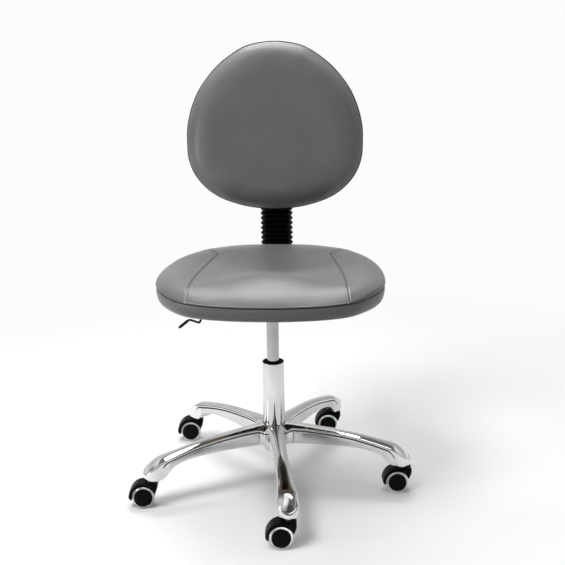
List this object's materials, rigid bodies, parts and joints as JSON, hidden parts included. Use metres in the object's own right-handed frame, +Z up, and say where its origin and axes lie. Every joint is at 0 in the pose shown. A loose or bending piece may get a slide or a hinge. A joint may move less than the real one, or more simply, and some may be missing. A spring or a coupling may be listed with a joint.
{
  "type": "dentist stool",
  "caption": "Height-adjustable dentist stool: padded grey seat and rounded backrest on a gas-lift column with a polished star base on twin-wheel casters.",
  "frame": {"origin": "on the floor, at the axis of the column", "axes": "+Z up along the column; the sitter faces -Y, so the backrest is on the +Y side; +X is the sitter's left"},
  "size_m": [0.6397, 0.6165, 1.0006],
  "materials": {
    "polished_base": "die-cast aluminium, polished to a mirror",
    "bright_tube": "chromed steel tube",
    "zinc_steel": "zinc-plated steel",
    "black_steel": "black powder coat, satin",
    "black_plastic": "moulded black plastic, satin",
    "black_rubber": "soft black rubber",
    "bellows_rubber": "glossy black moulded bellows",
    "plywood": "moulded beech plywood",
    "grey_upholstery": "smooth grey coated leather over foam, soft sheen",
    "welt": "grey welt cord sewn into the seam",
    "caster_nylon": "black nylon, semi-gloss",
    "pale_tread": "pale grey soft polyurethane tread"
  },
  "bodies": {
    "base": {"star_base": "polished_base", "column_tube": "bright_tube", "guide_bush": "black_plastic", "retaining_clip": "zinc_steel", "thrust_bearing": "zinc_steel"},
    "piston": {"piston_rod": "bright_tube", "bump_stop": "black_rubber"},
    "seat": {"gas_cylinder": "bright_tube", "seat_mechanism": "black_steel", "mechanism_bolts": "zinc_steel", "seat_board": "plywood", "seat_cushion": "grey_upholstery", "seat_piping": "welt"},
    "lever": {"lever_rod": "black_steel", "lever_grip": "black_plastic"},
    "release_pin": {"release_pin": "zinc_steel"},
    "back_arm": {"back_bar": "black_steel", "back_bellows": "bellows_rubber"},
    "depth_knob": {"depth_knob": "black_plastic"},
    "backrest": {"back_bracket": "black_steel", "bracket_screws": "zinc_steel", "back_board": "plywood", "back_cushion": "grey_upholstery", "back_cover": "grey_upholstery"},
    "height_knob": {"height_knob": "black_plastic"},
    "caster_1": {"caster_1_hood": "caster_nylon", "caster_1_stem": "zinc_steel", "caster_1_axle": "zinc_steel"},
    "caster_1_wheel_l": {"caster_1_hub_l": "caster_nylon", "caster_1_tread_l": "pale_tread"},
    "caster_1_wheel_r": {"caster_1_hub_r": "caster_nylon", "caster_1_tread_r": "pale_tread"},
    "caster_2": {"caster_2_hood": "caster_nylon", "caster_2_stem": "zinc_steel", "caster_2_axle": "zinc_steel"},
    "caster_2_wheel_l": {"caster_2_hub_l": "caster_nylon", "caster_2_tread_l": "pale_tread"},
    "caster_2_wheel_r": {"caster_2_hub_r": "caster_nylon", "caster_2_tread_r": "pale_tread"},
    "caster_3": {"caster_3_hood": "caster_nylon", "caster_3_stem": "zinc_steel", "caster_3_axle": "zinc_steel"},
    "caster_3_wheel_l": {"caster_3_hub_l": "caster_nylon", "caster_3_tread_l": "pale_tread"},
    "caster_3_wheel_r": {"caster_3_hub_r": "caster_nylon", "caster_3_tread_r": "pale_tread"},
    "caster_4": {"caster_4_hood": "caster_nylon", "caster_4_stem": "zinc_steel", "caster_4_axle": "zinc_steel"},
    "caster_4_wheel_l": {"caster_4_hub_l": "caster_nylon", "caster_4_tread_l": "pale_tread"},
    "caster_4_wheel_r": {"caster_4_hub_r": "caster_nylon", "caster_4_tread_r": "pale_tread"},
    "caster_5": {"caster_5_hood": "caster_nylon", "caster_5_stem": "zinc_steel", "caster_5_axle": "zinc_steel"},
    "caster_5_wheel_l": {"caster_5_hub_l": "caster_nylon", "caster_5_tread_l": "pale_tread"},
    "caster_5_wheel_r": {"caster_5_hub_r": "caster_nylon", "caster_5_tread_r": "pale_tread"}
  },
  "joints": [
    {"name": "seat_swivel", "type": "hinge", "parent": "base", "child": "piston", "pos_m": [0, 0, 0.086], "axis": [0, 0, 1], "continuous": true},
    {"name": "seat_lift", "type": "slide", "parent": "piston", "child": "seat", "axis": [0, 0, 1], "range_m": [-0.11, 0.02]},
    {"name": "lever_lift", "type": "hinge", "parent": "seat", "child": "lever", "pos_m": [-0.026, 0, 0.443], "axis": [0, 1, 0], "range_deg": [0, 5], "stiffness_Nm_per_rad": 1.2},
    {"name": "release_press", "type": "slide", "parent": "seat", "child": "release_pin", "axis": [0, 0, -1], "range_m": [0, 0.0023], "stiffness_N_per_m": 300},
    {"name": "back_depth", "type": "slide", "parent": "seat", "child": "back_arm", "axis": [0, 1, 0], "range_m": [0, 0.045]},
    {"name": "depth_knob_turn", "type": "hinge", "parent": "seat", "child": "depth_knob", "pos_m": [0, 0.095, 0.41], "axis": [0, 0, 1], "range_deg": [0, 360]},
    {"name": "back_height", "type": "slide", "parent": "back_arm", "child": "backrest", "axis": [0, 0, 1], "range_m": [-0.03, 0.05], "deforming": ["back_bellows"]},
    {"name": "height_knob_turn", "type": "hinge", "parent": "backrest", "child": "height_knob", "pos_m": [0, 0.2622, 0.707], "axis": [0, 1, 0], "range_deg": [0, 360]},
    {"name": "caster_1_swivel", "type": "hinge", "parent": "base", "child": "caster_1", "pos_m": [0.04486, -0.30017, 0.06], "axis": [0, 0, 1], "continuous": true},
    {"name": "caster_1_wheel_l_spin", "type": "hinge", "parent": "caster_1", "child": "caster_1_wheel_l", "pos_m": [0.02889, -0.30114, 0.025], "axis": [-0.061, 0.9981, 0], "continuous": true},
    {"name": "caster_1_wheel_r_spin", "type": "hinge", "parent": "caster_1", "child": "caster_1_wheel_r", "pos_m": [0.02889, -0.30114, 0.025], "axis": [-0.061, 0.9981, 0], "continuous": true},
    {"name": "caster_2_swivel", "type": "hinge", "parent": "base", "child": "caster_2", "pos_m": [0.29934, -0.05009, 0.06], "axis": [0, 0, 1], "continuous": true},
    {"name": "caster_2_wheel_l_spin", "type": "hinge", "parent": "caster_2", "child": "caster_2_wheel_l", "pos_m": [0.28337, -0.05107, 0.025], "axis": [-0.061, 0.9981, 0], "continuous": true},
    {"name": "caster_2_wheel_r_spin", "type": "hinge", "parent": "caster_2", "child": "caster_2_wheel_r", "pos_m": [0.28337, -0.05107, 0.025], "axis": [-0.061, 0.9981, 0], "continuous": true},
    {"name": "caster_3_swivel", "type": "hinge", "parent": "base", "child": "caster_3", "pos_m": [0.14014, 0.26921, 0.06], "axis": [0, 0, 1], "continuous": true},
    {"name": "caster_3_wheel_l_spin", "type": "hinge", "parent": "caster_3", "child": "caster_3_wheel_l", "pos_m": [0.12417, 0.26823, 0.025], "axis": [-0.061, 0.9981, 0], "continuous": true},
    {"name": "caster_3_wheel_r_spin", "type": "hinge", "parent": "caster_3", "child": "caster_3_wheel_r", "pos_m": [0.12417, 0.26823, 0.025], "axis": [-0.061, 0.9981, 0], "continuous": true},
    {"name": "caster_4_swivel", "type": "hinge", "parent": "base", "child": "caster_4", "pos_m": [-0.21273, 0.21647, 0.06], "axis": [0, 0, 1], "continuous": true},
    {"name": "caster_4_wheel_l_spin", "type": "hinge", "parent": "caster_4", "child": "caster_4_wheel_l", "pos_m": [-0.2287, 0.21549, 0.025], "axis": [-0.061, 0.9981, 0], "continuous": true},
    {"name": "caster_4_wheel_r_spin", "type": "hinge", "parent": "caster_4", "child": "caster_4_wheel_r", "pos_m": [-0.2287, 0.21549, 0.025], "axis": [-0.061, 0.9981, 0], "continuous": true},
    {"name": "caster_5_swivel", "type": "hinge", "parent": "base", "child": "caster_5", "pos_m": [-0.27161, -0.13542, 0.06], "axis": [0, 0, 1], "continuous": true},
    {"name": "caster_5_wheel_l_spin", "type": "hinge", "parent": "caster_5", "child": "caster_5_wheel_l", "pos_m": [-0.28758, -0.1364, 0.025], "axis": [-0.061, 0.9981, 0], "continuous": true},
    {"name": "caster_5_wheel_r_spin", "type": "hinge", "parent": "caster_5", "child": "caster_5_wheel_r", "pos_m": [-0.28758, -0.1364, 0.025], "axis": [-0.061, 0.9981, 0], "continuous": true}
  ],
  "couplings": [
    {"joint": "release_press", "follows": "lever_lift", "m_per_rad": 0.026}
  ]
}
